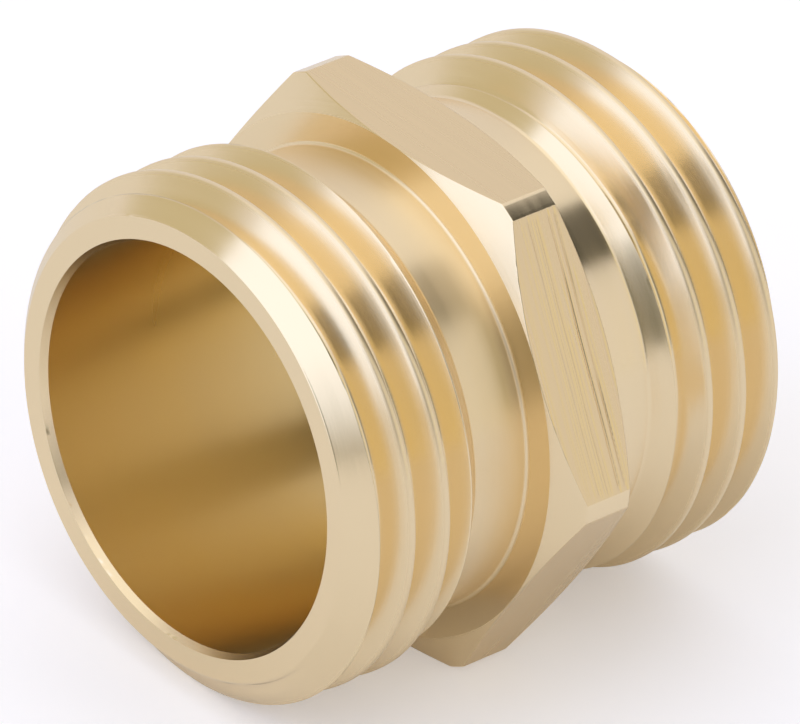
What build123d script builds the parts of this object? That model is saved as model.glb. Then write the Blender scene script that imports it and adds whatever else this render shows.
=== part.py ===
"""Hex nipple, male by male, for 3/4 inch garden hose couplings: one piece of machined brass.

Millimetres. The bore runs along Y with its middle at the origin, and one flat of the hexagon
faces straight down. Both ends are alike, so either one screws into the same coupling.
"""

import os
from math import isclose, radians, tan

from build123d import *

# hexagon, left from 27 mm bar, its corners turned down
HEX_ACROSS_FLATS = 27.0
HEX_CORNER_DIAMETER = 30.6
HEX_WIDTH = 4.6
HEX_CHAMFER_ANGLE = 27.0

# garden hose thread, 3/4-11.5 NH
THREAD_DIAMETER = 26.9
THREAD_PITCH = 25.4 / 11.5
THREAD_DEPTH = 1.435
THREAD_FLANK_ANGLE = 30.0
GROOVE_OVERCUT = 0.15

# each threaded end, from its end face to the hexagon
END_LENGTH = 11.8
FACE_DIAMETER = 23.7
BEVEL_LENGTH = 1.3
NECK_DIAMETER = 23.7
NECK_LENGTH = 3.4
NECK_SHOULDER_ANGLE = 45.0
NECK_FILLET = 0.2

# straight bore with a small chamfer at each mouth
BORE_DIAMETER = 21.0
MOUTH_DIAMETER = 21.4
MOUTH_DEPTH = 0.4

# how deep the middle of the groove is behind each end face, straight above the bore
FIRST_GROOVE_DEPTH = 1.48
SECOND_GROOVE_DEPTH = 2.95

# worked out from the dimensions above
TOTAL_LENGTH = 2 * END_LENGTH + HEX_WIDTH
THREAD_RADIUS = THREAD_DIAMETER / 2
ROOT_RADIUS = THREAD_RADIUS - THREAD_DEPTH
HEX_CORNER_CHAMFER = (HEX_CORNER_DIAMETER - HEX_ACROSS_FLATS) / 2 * tan(radians(HEX_CHAMFER_ANGLE))
NECK_SHOULDER = (THREAD_DIAMETER - NECK_DIAMETER) / 2 * tan(radians(NECK_SHOULDER_ANGLE))


def end_outline(end):
    """Half the outline of one threaded end, from its bore to its hexagon; end is -1 or 1 along Y."""
    face = end * TOTAL_LENGTH / 2
    ring = end * HEX_WIDTH / 2
    return [
        (BORE_DIAMETER / 2, face - end * MOUTH_DEPTH),
        (MOUTH_DIAMETER / 2, face),
        (FACE_DIAMETER / 2, face),
        (THREAD_RADIUS, face - end * BEVEL_LENGTH),
        (THREAD_RADIUS, ring + end * (NECK_LENGTH + NECK_SHOULDER)),
        (NECK_DIAMETER / 2, ring + end * NECK_LENGTH),
        (NECK_DIAMETER / 2, ring),
        (HEX_ACROSS_FLATS / 2, ring),
        (HEX_CORNER_DIAMETER / 2, ring - end * HEX_CORNER_CHAMFER),
    ]


def thread_groove(end_face, depth):
    """The right-hand groove between the crests of one thread, as a list of single turns.

    end_face is the plane of the end face: it looks into the metal, and its x axis points up,
    where the middle of the groove is the given depth behind the face. The groove starts outside
    the metal and ends over the neck.
    """
    root_half_width = THREAD_PITCH / 16
    top_half_width = root_half_width + (THREAD_DEPTH + GROOVE_OVERCUT) * tan(radians(THREAD_FLANK_ANGLE))
    start = depth - 2 * THREAD_PITCH
    turns = int((END_LENGTH - top_half_width - start) / THREAD_PITCH)
    with BuildPart() as groove_turn:
        with BuildLine() as path:
            Helix(pitch=THREAD_PITCH, height=THREAD_PITCH, radius=ROOT_RADIUS, center=(0, 0, start))
        with BuildSketch(Plane.XZ):
            with BuildLine():
                Polyline(
                    (ROOT_RADIUS, start - root_half_width),
                    (THREAD_RADIUS + GROOVE_OVERCUT, start - top_half_width),
                    (THREAD_RADIUS + GROOVE_OVERCUT, start + top_half_width),
                    (ROOT_RADIUS, start + root_half_width),
                    close=True,
                )
            make_face()
        sweep(path=path.wire(), is_frenet=True)
    return [
        groove_turn.part.moved(end_face.location * Location((0, 0, turn * THREAD_PITCH)))
        for turn in range(turns)
    ]

def is_neck_corner(edge):
    """Whether a circular edge is where a neck meets the hexagon."""
    return isclose(edge.radius, NECK_DIAMETER / 2) and isclose(abs(edge.center().Y), HEX_WIDTH / 2)

first_face = Plane((0, -TOTAL_LENGTH / 2, 0), x_dir=(0, 0, 1), z_dir=(0, 1, 0))
second_face = Plane((0, TOTAL_LENGTH / 2, 0), x_dir=(0, 0, 1), z_dir=(0, -1, 0))
first_groove = thread_groove(first_face, FIRST_GROOVE_DEPTH)
second_groove = thread_groove(second_face, SECOND_GROOVE_DEPTH)

with BuildPart() as nipple_body:
    with BuildSketch(Plane.XY):
        with BuildLine():
            Polyline(*end_outline(-1), *reversed(end_outline(1)), close=True)
        make_face()
    revolve(axis=Axis.Y)
    with BuildSketch(Plane.XZ.offset(-TOTAL_LENGTH / 2)):
        RegularPolygon(HEX_ACROSS_FLATS / 2, 6, major_radius=False)
    extrude(amount=TOTAL_LENGTH, mode=Mode.INTERSECT)
    fillet(nipple_body.edges().filter_by(GeomType.CIRCLE).filter_by(is_neck_corner), NECK_FILLET)
    for groove_turn in first_groove + second_groove:
        add(groove_turn, mode=Mode.SUBTRACT)

nipple_body.part.label = "nipple_body"

os.makedirs("parts", exist_ok=True)
export_step(nipple_body.part, "parts/nipple_body.step")
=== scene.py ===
"""Looks for the brass hex nipple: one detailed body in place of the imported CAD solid.

The bore runs along Y. Lengths are in millimetres while the mesh is worked out and in metres in
the scene. theta runs round the bore from straight up (+Z) towards +X, and depth is measured
along the bore from an end face towards the hexagon.
"""
from math import acos, cos, pi, radians, sin, tan

import bpy
import numpy as np
from mathutils import Matrix, Vector


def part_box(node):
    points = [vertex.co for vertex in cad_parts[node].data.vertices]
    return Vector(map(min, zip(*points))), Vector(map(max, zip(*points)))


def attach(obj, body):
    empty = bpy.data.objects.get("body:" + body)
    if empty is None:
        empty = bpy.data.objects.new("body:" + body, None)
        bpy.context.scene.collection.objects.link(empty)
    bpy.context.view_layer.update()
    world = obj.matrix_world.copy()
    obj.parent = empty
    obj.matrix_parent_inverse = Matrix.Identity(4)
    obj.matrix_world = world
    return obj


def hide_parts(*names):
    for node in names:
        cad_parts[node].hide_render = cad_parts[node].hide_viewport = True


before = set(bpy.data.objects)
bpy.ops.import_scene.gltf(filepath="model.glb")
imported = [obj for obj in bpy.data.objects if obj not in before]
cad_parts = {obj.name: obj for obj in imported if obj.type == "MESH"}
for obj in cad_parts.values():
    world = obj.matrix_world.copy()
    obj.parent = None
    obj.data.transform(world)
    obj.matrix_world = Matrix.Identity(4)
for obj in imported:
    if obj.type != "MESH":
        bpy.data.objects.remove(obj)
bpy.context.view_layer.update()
low, high = (np.array(corner) * 1000.0 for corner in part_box("nipple_body"))

# ---------------------------------------------------------------- sizes, as in the CAD part
HALF_LENGTH = high[1]
HEX_APOTHEM = high[2]
HEX_CORNER_RADIUS = high[0]
HEX_HALF_WIDTH = 2.3
HEX_CHAMFER_SLOPE = tan(radians(27.0))
THREAD_RADIUS = 13.45
THREAD_PITCH = 25.4 / 11.5
THREAD_DEPTH = 1.435
ROOT_RADIUS = THREAD_RADIUS - THREAD_DEPTH
FLANK_SLOPE = tan(radians(30.0))
ROOT_HALF_WIDTH = THREAD_PITCH / 16
CREST_EDGE = ROOT_HALF_WIDTH + THREAD_DEPTH * FLANK_SLOPE
END_LENGTH = HALF_LENGTH - HEX_HALF_WIDTH
FACE_RADIUS = 11.85
BEVEL_LENGTH = 1.3
NECK_RADIUS = 11.85
NECK_LENGTH = 3.4
NECK_SHOULDER = THREAD_RADIUS - NECK_RADIUS
NECK_FILLET = 0.2
BORE_RADIUS = 10.5
MOUTH_RADIUS = 10.7
MOUTH_DEPTH = 0.4
GROOVE_DEPTHS = {-1: 1.48, 1: 2.95}
SHOULDER_TOP = END_LENGTH - NECK_LENGTH - NECK_SHOULDER
SHOULDER_FOOT = END_LENGTH - NECK_LENGTH

# ---------------------------------------------------------------- small signs of machining and handling
RIM = 0.04
BURR_HEIGHT = 0.006
BURR_WIDTH = 0.05
# how far apart two surfaces are, in radius, where the rounding of the edge between them starts
BEVEL_ROUNDING = 0.10
SHOULDER_ROUNDING = 0.12
ROOT_ROUNDING = 0.20
BEVEL_CREST_ROUNDING, CREST_ROUNDING = 0.05, 0.11
NECK_ROUNDING = 0.10
LAND_ROUNDING = 0.03
CHAMFER_ROUNDING = 0.04

# small nicks scattered along three edges of the near end: how many, between which two angles
# round the bore, the radius and y of the edge, the width of a nick across the edge, then the
# least and most that the metal is pushed outwards
NICKED_EDGES = (
    (8, 170.0, 250.0, MOUTH_RADIUS + 0.01, -HALF_LENGTH + 0.01, 0.055, -0.02, 0.03),
    (2, 120.0, 360.0, FACE_RADIUS - 0.01, -HALF_LENGTH + 0.01, 0.06, -0.03, -0.02),
    (6, -15.0, 105.0, THREAD_RADIUS - 0.05, -HALF_LENGTH + BEVEL_LENGTH - 0.04, 0.07, -0.05, -0.04),
)
NICK_PUSH_ALONG = 0.02
nick_source = np.random.default_rng(3)
NICKS = []
for count, first, last, at_r, at_y, width, least, most in NICKED_EDGES:
    for _ in range(count):
        NICKS.append((radians(nick_source.uniform(first, last)), at_r, at_y,
                      nick_source.uniform(0.12, 0.15), width, nick_source.uniform(least, most)))

# marks in each flat, counted round from the top one: how many, and the deepest in millimetres
FLAT_MARKS = ((9, 0.003), (36, 0.030), (9, 0.004), (9, 0.004), (14, 0.006), (9, 0.004))
MARKS_FADE_FROM, MARKS_FADE_TO = 6.7, 7.3


# ---------------------------------------------------------------- shapes
def blend_low(a, b, width):
    """The smaller of two heights, rounded over where they are within width of each other."""
    h = np.clip(1.0 - np.abs(a - b) / width, 0.0, 1.0)
    return np.minimum(a, b) - h * h * width / 4


def blend_high(a, b, width):
    """The larger of two heights, filleted in the same way."""
    h = np.clip(1.0 - np.abs(a - b) / width, 0.0, 1.0)
    return np.maximum(a, b) + h * h * width / 4


def from_flat_middle(theta):
    """The angle from the middle of the nearest flat of the hexagon."""
    return (theta + pi / 6) % (pi / 3) - pi / 6


def flat_number(theta):
    """Which flat of the hexagon that is, counted round from the top one."""
    return np.floor((theta + pi / 6) / (pi / 3)).astype(int) % 6


def wander(turn, seed, slowest=3, count=7):
    """A smooth irregular line round the bore, about -1 to 1, the same each time for one seed."""
    source = np.random.default_rng(seed)
    total = 0.0 * turn
    for n in range(count):
        total = total + np.sin((slowest + 3 * n) * turn + source.uniform(0, 2 * pi)) / (1 + 0.5 * n)
    return total / 2.2


def end_radius(theta, depth, end):
    """The outside of one threaded end, with its edges a little broken as machining leaves them."""
    bevel = FACE_RADIUS + (THREAD_RADIUS - FACE_RADIUS) * depth / BEVEL_LENGTH
    shoulder = NECK_RADIUS + (SHOULDER_FOOT - depth)
    envelope = blend_low(bevel, THREAD_RADIUS + 0.0 * depth, BEVEL_ROUNDING)
    envelope = blend_low(envelope, np.maximum(shoulder, NECK_RADIUS - 1.0), SHOULDER_ROUNDING)
    middle = GROOVE_DEPTHS[end] - end * THREAD_PITCH * theta / (2 * pi)
    offset = np.abs((depth - middle + THREAD_PITCH / 2) % THREAD_PITCH - THREAD_PITCH / 2)
    flank = ROOT_RADIUS + (offset - ROOT_HALF_WIDTH) / FLANK_SLOPE
    groove = blend_high(flank, ROOT_RADIUS + 0.0 * depth, ROOT_ROUNDING)
    burr = BURR_HEIGHT * np.exp(-((offset - CREST_EDGE - 0.04) / BURR_WIDTH) ** 2)
    burr = burr * np.clip(depth - 0.5, 0.0, 1.0) * np.maximum(wander(theta, 5 + end, 23, 9), 0.0)
    crest_rounding = np.interp(depth, [1.1, 1.4], [BEVEL_CREST_ROUNDING, CREST_ROUNDING])
    outside = blend_low(envelope, groove, crest_rounding) - burr
    outside = blend_high(outside, NECK_RADIUS + 0.0 * depth, NECK_ROUNDING)
    fillet_part = np.clip(1.0 - (END_LENGTH - depth) / NECK_FILLET, 0.0, 1.0)
    fillet = NECK_RADIUS + NECK_FILLET * (1.0 - np.sqrt(1.0 - fillet_part ** 2))
    outside = np.where(fillet_part > 0.0, fillet, outside)
    return outside - 0.75 * RIM * np.clip(1.0 - depth / RIM, 0.0, 1.0) ** 2


def cutter_marks(theta, y):
    """How deep the cutter's marks are in each flat of the hexagon. They run across the bore."""
    number = flat_number(theta)
    along = HEX_APOTHEM * np.tan(from_flat_middle(theta))
    total = 0.0 * theta
    for flat, (count, depth) in enumerate(FLAT_MARKS):
        source = np.random.default_rng(40 + flat)
        marks = 0.0 * theta
        for _ in range(count):
            middle = 2.3 - 4.5 * source.random() ** 1.3
            width = source.uniform(0.035, 0.065)
            cut = depth * source.uniform(0.4, 1.0) * (0.25 + 0.75 * (middle + 2.2) / 4.5)
            drift = source.uniform(-0.002, 0.002)
            sway = 0.015 * np.sin(source.uniform(0.5, 1.3) * along + source.uniform(0, 6.3))
            start, stop = -9.0, 9.0
            if source.random() < 0.45:
                start = source.uniform(-8.0, 4.0)
            if source.random() < 0.25:
                stop = start + source.uniform(3.0, 9.0)
            shown = 1 / (1 + np.exp((start - along) * 4)) / (1 + np.exp((along - stop) * 4))
            marks = marks + cut * shown * np.exp(-((y - middle - drift * along - sway) / width) ** 2)
        total = total + np.where(number == flat, marks, 0.0)
    return total * np.clip((MARKS_FADE_TO - np.abs(along)) / (MARKS_FADE_TO - MARKS_FADE_FROM), 0.15, 1.0)


def hex_radius(theta, y):
    """The outside of the hexagon: flats, corners turned down to lands, and a chamfer at each side."""
    across = from_flat_middle(theta)
    flat = (HEX_APOTHEM - cutter_marks(theta, y)) / np.cos(across)
    chamfer = HEX_APOTHEM + (HEX_HALF_WIDTH - np.abs(y)) / HEX_CHAMFER_SLOPE
    turned_down = blend_low(flat, HEX_CORNER_RADIUS + 0.0 * theta, LAND_ROUNDING)
    return blend_low(turned_down, chamfer, CHAMFER_ROUNDING)


def nicked(theta, r, y):
    """Moves points by the small nicks along the edges of the near end."""
    radial = 0.0 * theta
    axial = 0.0 * theta
    for angle, at_r, at_y, length, width, push in NICKS:
        turn = (theta - angle + pi) % (2 * pi) - pi
        size = np.exp(-(turn * at_r / length) ** 2 - ((r - at_r) ** 2 + (y - at_y) ** 2) / width ** 2)
        radial = radial + push * size
        axial = axial + NICK_PUSH_ALONG * size
    return r + radial, y + axial


# ---------------------------------------------------------------- mesh
# The surface is built in columns: each is one angle round the bore, with points along it. There
# are extra columns at both edges of each corner land of the hexagon.
COLUMN_COUNT = 300
CLOSEST_COLUMNS = radians(0.03)
LAND_EDGE = acos(HEX_APOTHEM / HEX_CORNER_RADIUS)
columns = {round(n * 2 * pi / COLUMN_COUNT, 9) for n in range(COLUMN_COUNT)}
for flat in range(6):
    for side in (-1, 1):
        for nudge in (-0.12, 0.0, 0.12):
            edge = radians(60.0 * flat + nudge) + side * LAND_EDGE
            columns.add(round(edge % (2 * pi), 9))
columns = np.array(sorted(columns))
columns = columns[np.append(True, np.diff(columns) > CLOSEST_COLUMNS)]

# places of the points across one thread groove, from its middle, and from the end face down one end
THREAD_ROWS = [0.0, THREAD_PITCH / 2]
for row in (0.09, 0.19, 0.30, 0.46, 0.66, 0.84, 0.93, 1.01):
    THREAD_ROWS += [row, -row]
END_ROWS = [0.0, 0.013, 0.026, RIM, 0.08, 0.18, 0.35, 0.7, 1.0, 1.22, 1.27, 1.33, 1.4]
END_ROWS += [SHOULDER_TOP + step for step in (-0.12, -0.04, 0.04, 0.12)]
END_ROWS += [SHOULDER_FOOT + step for step in (-0.80, -0.10, -0.03, 0.03, 0.10)]
END_ROWS += [9.0, 9.8, 10.6, 11.3, END_LENGTH - NECK_FILLET]
END_ROWS += [11.65, 11.70, 11.74, 11.77, 11.79, END_LENGTH]
MARKED_FLAT_STEPS = 76
PLAIN_FLAT_STEPS = 13


def end_rows(theta, end):
    """The depths of one column's points down a threaded end, from its face to the hexagon."""
    first_middle = GROOVE_DEPTHS[end] - THREAD_PITCH * end * theta / (2 * pi)
    middles = [first_middle + groove * THREAD_PITCH for groove in range(-2, 7)]
    turning = [m + row for m in middles for row in THREAD_ROWS]
    # extra points where a groove's flanks cut the bevel and the shoulder
    bevel = (FACE_RADIUS, (THREAD_RADIUS - FACE_RADIUS) / BEVEL_LENGTH, 0.12, BEVEL_LENGTH)
    shoulder = (NECK_RADIUS + SHOULDER_FOOT, -1.0, SHOULDER_TOP, SHOULDER_FOOT)
    cuts = []
    for start, slope, first, last in (bevel, shoulder):
        for m in middles:
            for side in (-1, 1):
                rise = start - ROOT_RADIUS + (side * m + ROOT_HALF_WIDTH) / FLANK_SLOPE
                cut = rise / (side / FLANK_SLOPE - slope)
                if first < cut < last and abs(cut - m) < THREAD_PITCH / 2:
                    cuts += [cut - 0.04, cut, cut + 0.04]
    turning = [d for d in turning if all(abs(d - cut) > 0.02 for cut in cuts)] + cuts
    turning = [d for d in turning if 0.05 < d < SHOULDER_FOOT and min(abs(d - e) for e in END_ROWS) > 0.015]
    return sorted(END_ROWS + turning)


def hex_rows(theta):
    """The places across the hexagon of one column's points."""
    across = from_flat_middle(theta)
    crest = min(HEX_APOTHEM / cos(across), HEX_CORNER_RADIUS)
    edge = HEX_HALF_WIDTH - (crest - HEX_APOTHEM) * HEX_CHAMFER_SLOPE
    steps = MARKED_FLAT_STEPS if FLAT_MARKS[flat_number(theta)][1] > 0.01 else PLAIN_FLAT_STEPS
    beyond = HEX_HALF_WIDTH - edge
    kept = [(edge - 0.04) * n / steps for n in range(steps + 1)] + [edge, edge + min(0.04, beyond / 8)]
    kept += [edge + beyond * n / 4 for n in range(1, 5)]
    return [-y for y in reversed(kept[1:])] + kept


points, normals, triangles, slots = [], [], [], []


def patch(rows, place, slot, outward, matched=False):
    """One patch of surface all the way round the bore.

    rows(theta) lists the places of a column's points, and place(theta, at) gives their radius
    and y. outward is 1 or -1, whichever turns the normals out of the metal. matched joins the
    rows of two columns by their numbers where both have as many, instead of by their places.
    """
    lists = [rows(theta) for theta in columns]
    theta = np.concatenate([np.full(len(at), t) for t, at in zip(columns, lists)])
    at = np.concatenate(lists)

    def position(theta, at):
        r, y = nicked(theta, *place(theta, at))
        return np.stack([r * np.sin(theta), y, r * np.cos(theta)], axis=-1)

    low_at, high_at = at.min(), at.max()
    round_step = position(theta + 2e-4, at) - position(theta - 2e-4, at)
    beyond, before = np.minimum(at + 1e-3, high_at), np.maximum(at - 1e-3, low_at)
    along_step = position(theta, beyond) - position(theta, before)
    normal = np.cross(round_step, along_step) * outward
    normal /= np.linalg.norm(normal, axis=1)[:, None]
    first = sum(len(p) for p in points)
    points.append(position(theta, at))
    normals.append(normal)
    starts = first + np.cumsum([0] + [len(rows_at) for rows_at in lists])
    for n, left in enumerate(lists):
        m = (n + 1) % len(columns)
        right = lists[m]
        by_number = matched and len(left) == len(right)
        a = b = 0
        while a < len(left) - 1 or b < len(right) - 1:
            if a < len(left) - 1 and (
                    b == len(right) - 1 or (a <= b if by_number else left[a + 1] <= right[b + 1])):
                corners = (starts[n] + a, starts[n] + a + 1, starts[m] + b)
                a += 1
            else:
                corners = (starts[n] + a, starts[m] + b + 1, starts[m] + b)
                b += 1
            triangles.append(corners[::-outward])
            slots.append(slot)


TURNED, FACED, BORE, MILLED = range(4)
for end in (-1, 1):
    rim_radius = float(end_radius(np.array(0.0), np.array(0.0), end))
    patch(lambda theta, end=end: end_rows(theta, end),
          lambda theta, at, end=end: (end_radius(theta, at, end), end * (HALF_LENGTH - at)), TURNED, -end)
    patch(lambda theta, rim=rim_radius: [MOUTH_RADIUS, 10.73, 10.85, 11.1, 11.35, 11.6, rim],
          lambda theta, at, end=end: (at, end * HALF_LENGTH + 0.0 * at), FACED, -end)
    patch(lambda theta: [0.0, 0.05, 0.2, 0.35, MOUTH_DEPTH],
          lambda theta, at, end=end: (MOUTH_RADIUS - (MOUTH_RADIUS - BORE_RADIUS) * at / MOUTH_DEPTH,
                                      end * (HALF_LENGTH - at)), FACED, end)
    patch(lambda theta, end=end: [NECK_RADIUS + NECK_FILLET, 12.1, 12.4, 12.8, 13.2,
                                  float(hex_radius(np.array(theta), np.array(end * HEX_HALF_WIDTH)))],
          lambda theta, at, end=end: (at, end * HEX_HALF_WIDTH + 0.0 * at), FACED, -end)
patch(hex_rows, lambda theta, at: (hex_radius(theta, at), at), MILLED, 1, matched=True)
BORE_END = HALF_LENGTH - MOUTH_DEPTH
patch(lambda theta: [-BORE_END, -BORE_END + 0.3, BORE_END - 0.3, BORE_END],
      lambda theta, at: (BORE_RADIUS + 0.0 * at, at), BORE, -1)

points = np.concatenate(points)
normals = np.concatenate(normals)
triangles = np.array(triangles)
slots = np.array(slots)
# only the flats are milled: the hexagon's corner lands and chamfers are turned
middle = points[triangles].mean(axis=1)
off_flat = from_flat_middle(np.arctan2(middle[:, 0], middle[:, 2]))
flat_edge = HEX_HALF_WIDTH - HEX_APOTHEM * (1.0 / np.cos(off_flat) - 1.0) * HEX_CHAMFER_SLOPE
on_flat = (np.abs(off_flat) < LAND_EDGE) & (np.abs(middle[:, 1]) < flat_edge)
slots[(slots == MILLED) & ~on_flat] = TURNED
# points in the same place become one, and triangles that this leaves without any width are dropped
_, firsts, welded = np.unique(np.round(points, 4), axis=0, return_index=True, return_inverse=True)
welded = welded.reshape(-1)[triangles]
whole = (welded[:, 0] != welded[:, 1]) & (welded[:, 1] != welded[:, 2]) & (welded[:, 2] != welded[:, 0])
mesh = bpy.data.meshes.new("nipple_visual")
mesh.from_pydata((points[firsts] / 1000).tolist(), [], welded[whole].tolist())
mesh.polygons.foreach_set("material_index", slots[whole])
mesh.polygons.foreach_set("use_smooth", np.ones(int(whole.sum()), dtype=bool))
mesh.normals_split_custom_set(normals[triangles[whole]].reshape(-1, 3).tolist())
body = bpy.data.objects.new("nipple_visual", mesh)
bpy.context.scene.collection.objects.link(body)


# ---------------------------------------------------------------- materials
# a Mix node's colour sockets, by number because its number and vector sockets have the same names
MIX_A, MIX_B, MIX_COLOUR = 6, 7, 2


class Nodes:
    """A short way to write node trees. An input is a value, or another node's output to link."""

    def __init__(self, tree):
        self.tree = tree
        tree.nodes.clear()

    def add(self, kind, inputs=(), **settings):
        node = self.tree.nodes.new(kind)
        for name, value in settings.items():
            setattr(node, name, value)
        for name, value in dict(inputs).items():
            if isinstance(value, bpy.types.NodeSocket):
                self.tree.links.new(value, node.inputs[name])
            else:
                node.inputs[name].default_value = value
        return node

    def math(self, operation, *values):
        node = self.add("ShaderNodeMath", operation=operation)
        for n, value in enumerate(values):
            if isinstance(value, bpy.types.NodeSocket):
                self.tree.links.new(value, node.inputs[n])
            else:
                node.inputs[n].default_value = value
        return node.outputs[0]


PALE_BRASS = (0.93, 0.755, 0.47, 1.0)
# a deeper, darker brass for the bore: painted shade for the inside of the tube
SHADED_BORE_BRASS = (0.85, 0.655, 0.31, 1.0)
MILLED_BRASS = (0.86, 0.67, 0.385, 1.0)


def brass(name, roughness, anisotropy, streaks, colour=PALE_BRASS, along=6000.0, across=6000.0, worn=0.0):
    """A brass finish. Lengths are in metres.

    streaks is the strength of its fine marks, and along and across are how quickly they change
    along the bore and outwards from it. worn is the roughness added on the crests and the first neck.
    """
    material = bpy.data.materials.new(name)
    material.use_nodes = True
    n = Nodes(material.node_tree)
    place = n.add("ShaderNodeTexCoord").outputs["Object"]
    split = n.add("ShaderNodeSeparateXYZ", {"Vector": place})
    x, y, z = (split.outputs[axis] for axis in "XYZ")
    radius = n.math("SQRT", n.math("ADD", n.math("MULTIPLY", x, x), n.math("MULTIPLY", z, z)))
    # marks that run round the bore: slow round the circle, quick along it and across the faces
    side = n.add("ShaderNodeCombineXYZ", {
        "X": n.math("DIVIDE", x, radius), "Y": n.math("DIVIDE", z, radius),
        "Z": n.math("MULTIPLY", y, along)})
    marks = n.add("ShaderNodeTexNoise", {
        "Vector": side.outputs[0], "W": n.math("MULTIPLY", radius, across),
        "Scale": 1.0, "Detail": 2.0, "Roughness": 0.5}, noise_dimensions="4D").outputs["Fac"]
    bands = n.add("ShaderNodeTexNoise", {
        "Vector": side.outputs[0], "W": n.math("MULTIPLY", radius, across / 3),
        "Scale": 0.35, "Detail": 2.0, "Roughness": 0.5}, noise_dimensions="4D").outputs["Fac"]
    bump = n.add("ShaderNodeBump", {"Height": marks, "Strength": streaks, "Distance": 0.00001})
    tangent = n.add("ShaderNodeTangent", direction_type="RADIAL", axis="Y").outputs[0]
    rough = n.add("ShaderNodeMapRange", {
        "Value": bands, "From Min": 0.3, "From Max": 0.7,
        "To Min": roughness - 0.03, "To Max": roughness + 0.03}).outputs[0]
    # the crests are worn, and the first neck was left rougher by its tool
    crest = n.add("ShaderNodeMapRange", {
        "Value": radius, "From Min": 0.01325, "From Max": 0.0134, "To Min": 0.0, "To Max": worn}).outputs[0]
    crest = n.math("MULTIPLY", crest, n.math("GREATER_THAN", n.math("ABSOLUTE", y), 0.0024))
    neck_starts = n.add("ShaderNodeMapRange", {
        "Value": y, "From Min": -0.006, "From Max": -0.0056, "To Min": 0.0, "To Max": worn}).outputs[0]
    neck_ends = n.add("ShaderNodeMapRange", {
        "Value": y, "From Min": -0.0024, "From Max": -0.0022, "To Min": 1.0, "To Max": 0.0}).outputs[0]
    neck = n.math("MULTIPLY", neck_starts, neck_ends)
    rough = n.math("ADD", rough, n.math("MAXIMUM", crest, neck))
    shade = n.add("ShaderNodeMix", {"Factor": bands}, data_type="RGBA")
    shade.inputs[MIX_A].default_value = tuple(c * 0.96 for c in colour[:3]) + (1.0,)
    shade.inputs[MIX_B].default_value = colour
    surface = n.add("ShaderNodeBsdfPrincipled", {
        "Base Color": shade.outputs[MIX_COLOUR], "Metallic": 1.0, "Roughness": rough,
        "Anisotropic": anisotropy, "Anisotropic Rotation": 0.25, "Tangent": tangent,
        "Normal": bump.outputs[0]})
    n.add("ShaderNodeOutputMaterial", {"Surface": surface.outputs[0]})
    return material


mesh.materials.append(brass("brass_turned", 0.22, 0.75, 0.20, worn=0.13))
mesh.materials.append(brass("brass_faced", 0.24, 0.50, 0.20))
# the bore's deeper, darker brass is painted shade
mesh.materials.append(brass("brass_bore_shaded", 0.30, 0.60, 0.0, SHADED_BORE_BRASS, along=900.0, across=0.0))
mesh.materials.append(brass("brass_milled", 0.28, 0.0, 0.20, MILLED_BRASS, across=0.0))

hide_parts("nipple_body")
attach(body, "root")

# ---------------------------------------------------------------- floor
floor_mesh = bpy.data.meshes.new("floor")
floor_mesh.from_pydata([(-3, -3, 0), (3, -3, 0), (3, 3, 0), (-3, 3, 0)], [], [(0, 1, 2, 3)])
floor = bpy.data.objects.new("floor", floor_mesh)
floor.location.z = low[2] / 1000
bpy.context.scene.collection.objects.link(floor)
paper = bpy.data.materials.new("pale_paper")
paper.use_nodes = True
n = Nodes(paper.node_tree)
matte = n.add("ShaderNodeBsdfDiffuse", {"Color": (0.86, 0.85, 0.85, 1.0)})
seen = n.add("ShaderNodeLightPath").outputs["Is Camera Ray"]
strength = n.add("ShaderNodeMapRange", {"Value": seen, "To Min": 0.08, "To Max": 0.30}).outputs[0]
glow = n.add("ShaderNodeEmission", {"Color": (1.0, 0.98, 0.96, 1.0), "Strength": strength})
both = n.add("ShaderNodeAddShader", {0: matte.outputs[0], 1: glow.outputs[0]})
n.add("ShaderNodeOutputMaterial", {"Surface": both.outputs[0]})
floor_mesh.materials.append(paper)


# ---------------------------------------------------------------- soft studio surroundings
def towards(azimuth, elevation):
    """The direction at that azimuth, 0 towards -Y and 90 towards +X, and elevation."""
    a, e = radians(azimuth), radians(elevation)
    return np.array([sin(a) * cos(e), -cos(a) * cos(e), sin(e)])


world = bpy.data.worlds.new("studio")
bpy.context.scene.world = world
world.use_nodes = True
n = Nodes(world.node_tree)
direction = n.add("ShaderNodeTexCoord").outputs["Generated"]


def card(azimuth, elevation, half_width, half_height, softness, tilt=0.0):
    """1 inside a flat soft-edged rectangle facing the nipple, of those half angles, and 0 outside it."""
    out = towards(azimuth, elevation)
    across = np.cross([0, 0, 1.0], out)
    across /= np.linalg.norm(across)
    up = np.cross(out, across)
    turn = radians(tilt)
    across, up = across * cos(turn) + up * sin(turn), up * cos(turn) - across * sin(turn)
    dots = [n.add("ShaderNodeVectorMath", {0: direction, 1: tuple(axis)}, operation="DOT_PRODUCT")
            for axis in (out, across, up)]
    ahead, *sides = (dot.outputs["Value"] for dot in dots)
    inside = n.math("GREATER_THAN", ahead, 0.0)
    for side, half in zip(sides, (half_width, half_height)):
        away = n.math("ABSOLUTE", n.math("DIVIDE", side, ahead))
        edge = n.add("ShaderNodeMapRange", {
            "Value": away, "From Min": tan(radians(half - softness / 2)),
            "From Max": tan(radians(half + softness / 2)), "To Min": 1.0, "To Max": 0.0},
            interpolation_type="SMOOTHSTEP").outputs[0]
        inside = n.math("MULTIPLY", inside, edge)
    return inside


PALE_ROOM = (0.81, 0.805, 0.90, 1.0)
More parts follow.
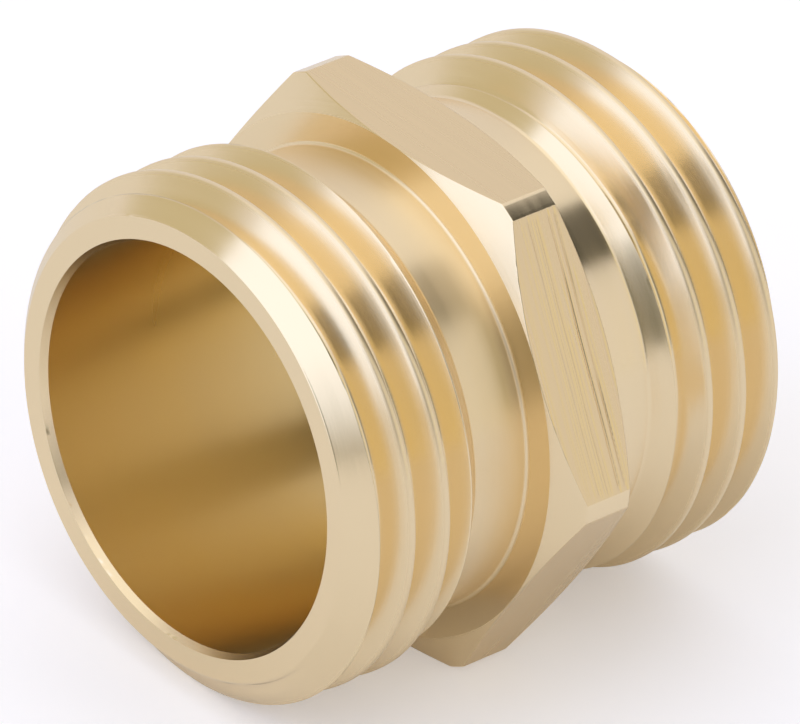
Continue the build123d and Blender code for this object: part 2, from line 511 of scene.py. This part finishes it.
# light and dark cards: the later ones stand in front of the earlier ones
CARDS = (
    (card(0, 88, 30, 30, 25), (1.10, 1.10, 1.15)),
    (card(-55, 24, 18, 22, 7), (0.62, 0.58, 0.46)),
    (card(-2, 27, 27, 33, 6), (1.20, 1.32, 1.75)),
    (card(47, 18, 20, 18, 4), (0.22, 0.22, 0.20)),
    (card(108, 22, 10, 34, 10), (0.88, 0.84, 0.60)),
    (card(135, 54.5, 9, 12, 5, tilt=-36), (0.12, 0.11, 0.08)),
    (card(165.5, 24, 13, 38, 3, tilt=21), (0.08, 0.08, 0.08)),
)
light = n.add("ShaderNodeRGB")
light.outputs[0].default_value = PALE_ROOM
light = light.outputs[0]
for mask, colour in CARDS:
    mixed = n.add("ShaderNodeMix", {"Factor": mask}, data_type="RGBA")
    n.tree.links.new(light, mixed.inputs[MIX_A])
    mixed.inputs[MIX_B].default_value = colour + (1.0,)
    light = mixed.outputs[MIX_COLOUR]
sky = n.add("ShaderNodeBackground", {"Color": light, "Strength": 1.0})
plain = n.add("ShaderNodeBackground", {"Color": (1.0, 1.0, 1.0, 1.0), "Strength": 1.0})
seen = n.add("ShaderNodeLightPath").outputs["Is Camera Ray"]
pick = n.add("ShaderNodeMixShader", {0: seen, 1: sky.outputs[0], 2: plain.outputs[0]})
n.add("ShaderNodeOutputWorld", {"Surface": pick.outputs[0]})

scene = bpy.context.scene
scene.view_settings.view_transform = "Standard"

# ---------------------------------------------------------------- camera at the photograph's angle
AZIMUTH, ELEVATION, ROLL, DISTANCE = 45.52, 32.77, 6.0, 0.5786
LENS = 531.0
camera_data = bpy.data.cameras.new("camera")
camera_data.lens = LENS
camera_data.sensor_width = 36.0
camera_data.clip_start = 0.01
camera_data.clip_end = 50.0
camera = bpy.data.objects.new("camera", camera_data)
camera.location = towards(AZIMUTH, ELEVATION) * DISTANCE
aim = (-Vector(camera.location)).to_track_quat("-Z", "Y").to_matrix().to_4x4()
camera.matrix_world = Matrix.Translation(camera.location) @ aim @ Matrix.Rotation(radians(ROLL), 4, "Z")
scene.collection.objects.link(camera)
scene.camera = camera

print("nipple_visual", len(mesh.vertices), "points", len(mesh.polygons), "triangles")
